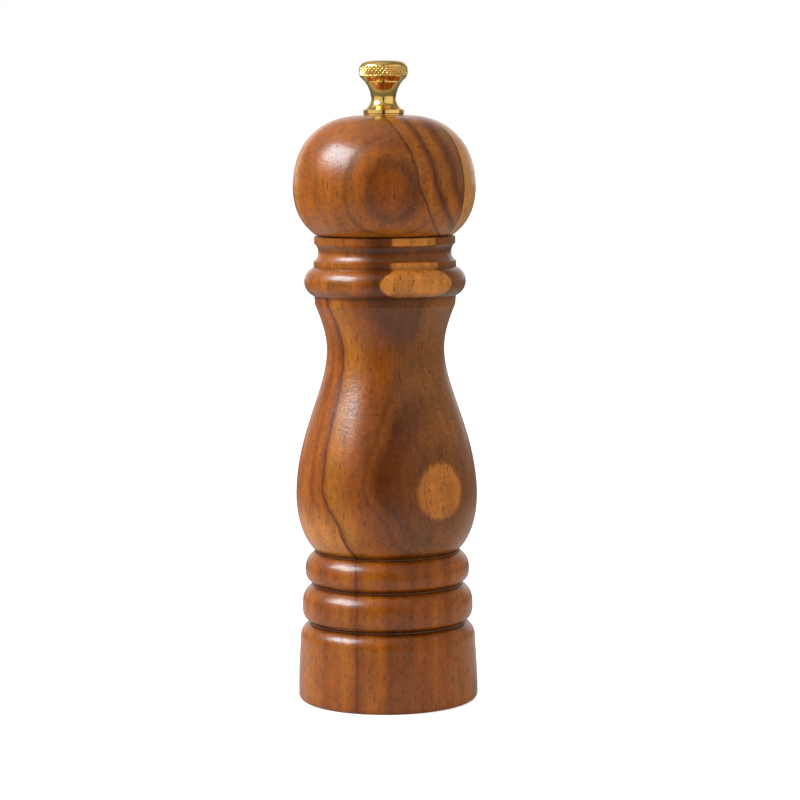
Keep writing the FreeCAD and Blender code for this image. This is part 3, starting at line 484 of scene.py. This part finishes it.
def refined(outline, low, high, step):
    """An outline with points added between two heights, so that no piece there is longer than a step."""
    points = [outline[0]]
    for (radius, height), (next_radius, next_height) in zip(outline, outline[1:]):
        length = math.hypot(next_radius - radius, next_height - height)
        inside = low < (height + next_height) / 2 < high
        count = max(1, math.ceil(length / step)) if inside else 1
        for number in range(1, count + 1):
            share = number / count
            points.append((radius + (next_radius - radius) * share,
                           height + (next_height - height) * share))
    return points


def soft_step(value, low, high):
    """0 below low, 1 above high and smooth between."""
    share = min(max((value - low) / (high - low), 0.0), 1.0)
    return share * share * (3 - 2 * share)


def make_knob():
    """The brass knob with a diamond knurl rolled into the side of its grip."""
    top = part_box("adjusting_knob")[1].z
    band_low, band_high = top - 4.4 * MM, top - 1.5 * MM
    diamonds, pitch, groove_depth, groove_share = 34, 1.25 * MM, 0.30 * MM, 0.32

    def groove(place):
        """1 on a groove's line and 0 away from it; place counts grooves."""
        off_line = abs(place - round(place))
        return max(0.0, 1.0 - off_line / groove_share)

    def relief(turn, radius, height):
        """How far a point of the knurled band moves out; it is 0 or less."""
        strength = soft_step(height, band_low, band_low + 0.3 * MM)
        strength *= 1.0 - soft_step(height, band_high - 0.7 * MM, band_high)
        if strength == 0.0:
            return 0.0
        around, up = diamonds * turn / TURN, height / pitch
        return -groove_depth * strength * max(groove(around + up), groove(around - up))

    outline = refined(outer_outline("adjusting_knob", 3.2 * MM), band_low, band_high, 0.07 * MM)
    knob = lathe("brass_knob", outline, diamonds * 12, knob_brass, relief)
    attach(knob, "knob")
    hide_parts("adjusting_knob")
    return knob


def make_shaft():
    """The square drive shaft with a real thread on its stud."""
    low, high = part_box("drive_shaft")
    width = high.x - low.x
    stud_radius, thread_depth, thread_pitch = 2.5 * MM, 0.42 * MM, 0.8 * MM
    corner = 0.45 * MM
    vertices = frame["nodes"]["drive_shaft"].data.vertices
    shoulder = max(vertex.co.z for vertex in vertices if math.hypot(vertex.co.x, vertex.co.y) > width / 2)
    thread_start, thread_end = shoulder + 1.2 * MM, high.z - 0.5 * MM

    def relief(turn, radius, height):
        """How far a point of the stud moves out for the thread; it is 0 or less."""
        place = height / thread_pitch - turn / TURN
        flank = abs(place - math.floor(place) - 0.5) * 2
        cut = soft_step(height, thread_start - 0.4 * MM, thread_start + 0.4 * MM)
        return -thread_depth * flank * cut

    rows = int((thread_end - shoulder) / (0.08 * MM))
    outline = [(stud_radius - thread_depth, shoulder - corner)]
    for row in range(rows + 1):
        height = shoulder + (thread_end - shoulder) * row / rows
        radius = stud_radius if height > thread_start - 0.4 * MM else stud_radius - thread_depth
        outline.append((radius, height))
    outline.append((stud_radius - 0.6 * MM, high.z))
    stud = lathe("threaded_stud", outline, 72, shaft_steel, relief)
    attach(stud, "grinder_shaft")

    half, inner = width / 2, width / 2 - corner
    section = [(half, -inner), (half, inner), (inner, half), (-inner, half),
               (-half, inner), (-half, -inner), (-inner, -half), (inner, -half)]
    bevel = 0.25 * MM
    levels = [(low.z, bevel), (low.z + bevel, 0.0), (shoulder - bevel, 0.0), (shoulder, bevel)]
    points = [(x * (1 - inset / half), y * (1 - inset / half), z)
              for z, inset in levels for x, y in section]
    count = len(section)
    faces = [tuple(reversed(range(count))), tuple(range(len(points) - count, len(points)))]
    for level in range(len(levels) - 1):
        for number in range(count):
            after = (number + 1) % count
            start, over = level * count, (level + 1) * count
            faces.append((start + number, start + after, over + after, over + number))
    bar = add_mesh("square_bar", points, faces, shaft_steel)
    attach(bar, "grinder_shaft")
    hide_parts("drive_shaft")


def make_spring():
    """The compression spring. Its turns are open near the two ends and run into each other between them."""
    bottom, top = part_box("spring_washer")[1].z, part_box("guide_bush")[0].z
    wire, radius, turns, ring = 0.45 * MM, 5.3 * MM, 6.5, 14
    steps = int(turns * 40)
    end_turn, even_rise, middle_rise, ends_rise = 0.12, 0.12, 0.44, 0.44
    points, faces = [], []
    for step in range(steps + 1):
        share = step / steps
        turn = TURN * turns * share
        ends = (soft_step(share, 0.08, 0.2) + soft_step(share, 0.8, 0.92)) * 0.5
        middle = min(max((share - end_turn) / (1 - 2 * end_turn), 0.0), 1.0)
        risen = even_rise * share + middle_rise * middle + ends_rise * ends
        height = bottom + wire + (top - bottom - 2 * wire) * risen
        outward = Vector((math.cos(turn), math.sin(turn), 0.0))
        for number in range(ring):
            angle = TURN * number / ring
            point = outward * (radius + wire * math.cos(angle))
            points.append((point.x, point.y, height + wire * math.sin(angle)))
    for step in range(steps):
        for number in range(ring):
            after = (number + 1) % ring
            start, over = step * ring, (step + 1) * ring
            faces.append((start + number, over + number, over + after, start + after))
    faces.append(tuple(range(ring)))
    faces.append(tuple(reversed(range(steps * ring, steps * ring + ring))))
    spring = add_mesh("coil_spring", points, faces, spring_steel)
    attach(spring, "bush")
    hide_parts("grinder_spring")
    travel = next(joint["range_m"][1] for joint in frame["joints"] if joint["name"] == "grind_adjust")
    1 - travel / (top - bottom)
    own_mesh(spring)


brass_pieces = [make_knob(), frame["nodes"]["knob_washer"]]
make_shaft()
make_spring()


# --------------------------------------------------------------------------- studio and camera

def make_floor():
    """A wide pale floor that glows as bright as the background where it is seen, so it has no horizon.

    It glows little where it only lights the mill, and in the mill's gloss it fades out away from the mill.
    """
    reach, level = 9.0, cad_box[0].z
    seen_glow, lighting_glow = 0.80, 0.10
    fade_start, fade_end = 80.0, 500.0
    finish = Finish("floor", Roughness=1.0, Specular_IOR_Level=0.0)
    cloth = finish.noise((4.0, 4.0, 4.0), detail=2.0)
    distance = (finish.x * finish.x + finish.y * finish.y).apply("SQRT")
    rays = finish.tree.nodes.new("ShaderNodeLightPath")
    seen = Field(finish.tree, rays.outputs["Is Camera Ray"])
    mirrored = Field(finish.tree, rays.outputs["Is Glossy Ray"])
    pale = finish.mix(cloth, rgb(206, 206, 206), rgb(200, 200, 200))
    faded = rgb(96, 96, 96)
    finish.colour(finish.mix(mirrored * distance.step(fade_start, fade_end), pale, faded))
    finish.shader.inputs["Emission Color"].default_value = (1.0, 1.0, 1.0, 1.0)
    plug(finish.tree, finish.shader.inputs["Emission Strength"], seen.span(lighting_glow, seen_glow))
    corners = [(reach * x, reach * y, level) for x, y in ((-1, -1), (1, -1), (1, 1), (-1, 1))]
    add_mesh("floor", corners, [(0, 1, 2, 3)], finish.material)


def make_light(name, direction, distance, width, height, power, on_gloss=True, on_colour=True, only=None,
               tint=(1.0, 1.0, 1.0)):
    """A soft rectangular light on the middle of the mill.

    It may skip the gloss or the colour of surfaces, shine on some pieces only, or be tinted.
    """
    data = bpy.data.lights.new(name, "AREA")
    data.shape = "RECTANGLE"
    data.size, data.size_y, data.energy, data.color = width, height, power, tint
    light = bpy.data.objects.new(name, data)
    middle = (cad_box[0] + cad_box[1]) / 2
    towards = Vector(direction).normalized()
    light.location = middle + towards * distance
    light.rotation_euler = towards.to_track_quat("Z", "Y").to_euler()
    light.visible_camera = False
    light.visible_glossy = on_gloss
    light.visible_diffuse = on_colour
    if only:
        receivers = bpy.data.collections.new(name)
        for piece in only:
            receivers.objects.link(piece)
        light.light_linking.receiver_collection = receivers
    bpy.context.scene.collection.objects.link(light)


def make_world():
    """White surroundings, dimmer where they light the mill. In its gloss they are bright behind and above."""
    world = bpy.data.worlds.new("studio")
    world.use_nodes = True
    tree = world.node_tree
    rays = tree.nodes.new("ShaderNodeLightPath")
    coordinates = tree.nodes.new("ShaderNodeTexCoord")
    parts = tree.nodes.new("ShaderNodeSeparateXYZ")
    tree.links.new(coordinates.outputs["Generated"], parts.inputs[0])
    sideways, depth, height = [Field(tree, socket) for socket in parts.outputs]
    dark, lighting_level, gloss_level, back_level, ceiling_level = 0.03, 0.55, 0.28, 0.72, 0.45
    away_from_camera = depth.step(-0.94, -0.72)
    lighting = away_from_camera.span(dark, lighting_level)
    ceiling = (height * 0.85 - sideways * 0.5).step(0.55, 1.0) * ceiling_level
    mirrored = away_from_camera.span(dark, gloss_level) + depth.step(0.72, 0.96) * back_level + ceiling
    glossy = Field(tree, rays.outputs["Is Glossy Ray"])
    seen = Field(tree, rays.outputs["Is Camera Ray"])
    strength = glossy * mirrored + glossy.span(1.0, 0.0) * lighting
    plug(tree, tree.nodes["Background"].inputs["Strength"], seen.apply("MAXIMUM", strength))
    tree.nodes["Background"].inputs["Color"].default_value = (1.0, 1.0, 1.0, 1.0)
    bpy.context.scene.world = world


def make_camera():
    """A long lens a little above the mill's middle, tipped slightly down."""
    data = bpy.data.cameras.new("camera")
    data.sensor_width, data.lens = 36.0, 118.76
    camera = bpy.data.objects.new("camera", data)
    sideways, distance, height = 0.00395, 0.740, 0.1597
    tip, roll = math.radians(5.77), math.radians(-0.436)
    aim = Matrix.Rotation(math.pi / 2 - tip, 4, "X") @ Matrix.Rotation(roll, 4, "Z")
    camera.matrix_world = Matrix.Translation((sideways, -distance, height)) @ aim
    bpy.context.scene.collection.objects.link(camera)
    bpy.context.scene.camera = camera


make_floor()
make_light("key_gloss", (-0.75, -0.22, 0.63), 1.6, 1.06, 0.72, 34.0, on_colour=False,
           tint=(0.74, 1.0, 1.15))
make_light("key_light", (-0.76, -0.12, 0.63), 1.0, 0.60, 0.60, 7.5, on_gloss=False)
make_light("fill_light", (0.45, -0.80, 0.40), 2.0, 1.6, 1.6, 6.0, on_gloss=False)
make_light("brass_card_left", (-0.79, -0.61, 0.10), 0.8, 1.5, 1.7, 5.8, only=brass_pieces)
make_light("brass_card_right", (0.79, -0.61, 0.10), 0.8, 1.5, 1.7, 6.4, only=brass_pieces)
make_world()
make_camera()
bpy.context.scene.view_settings.view_transform = "Standard"
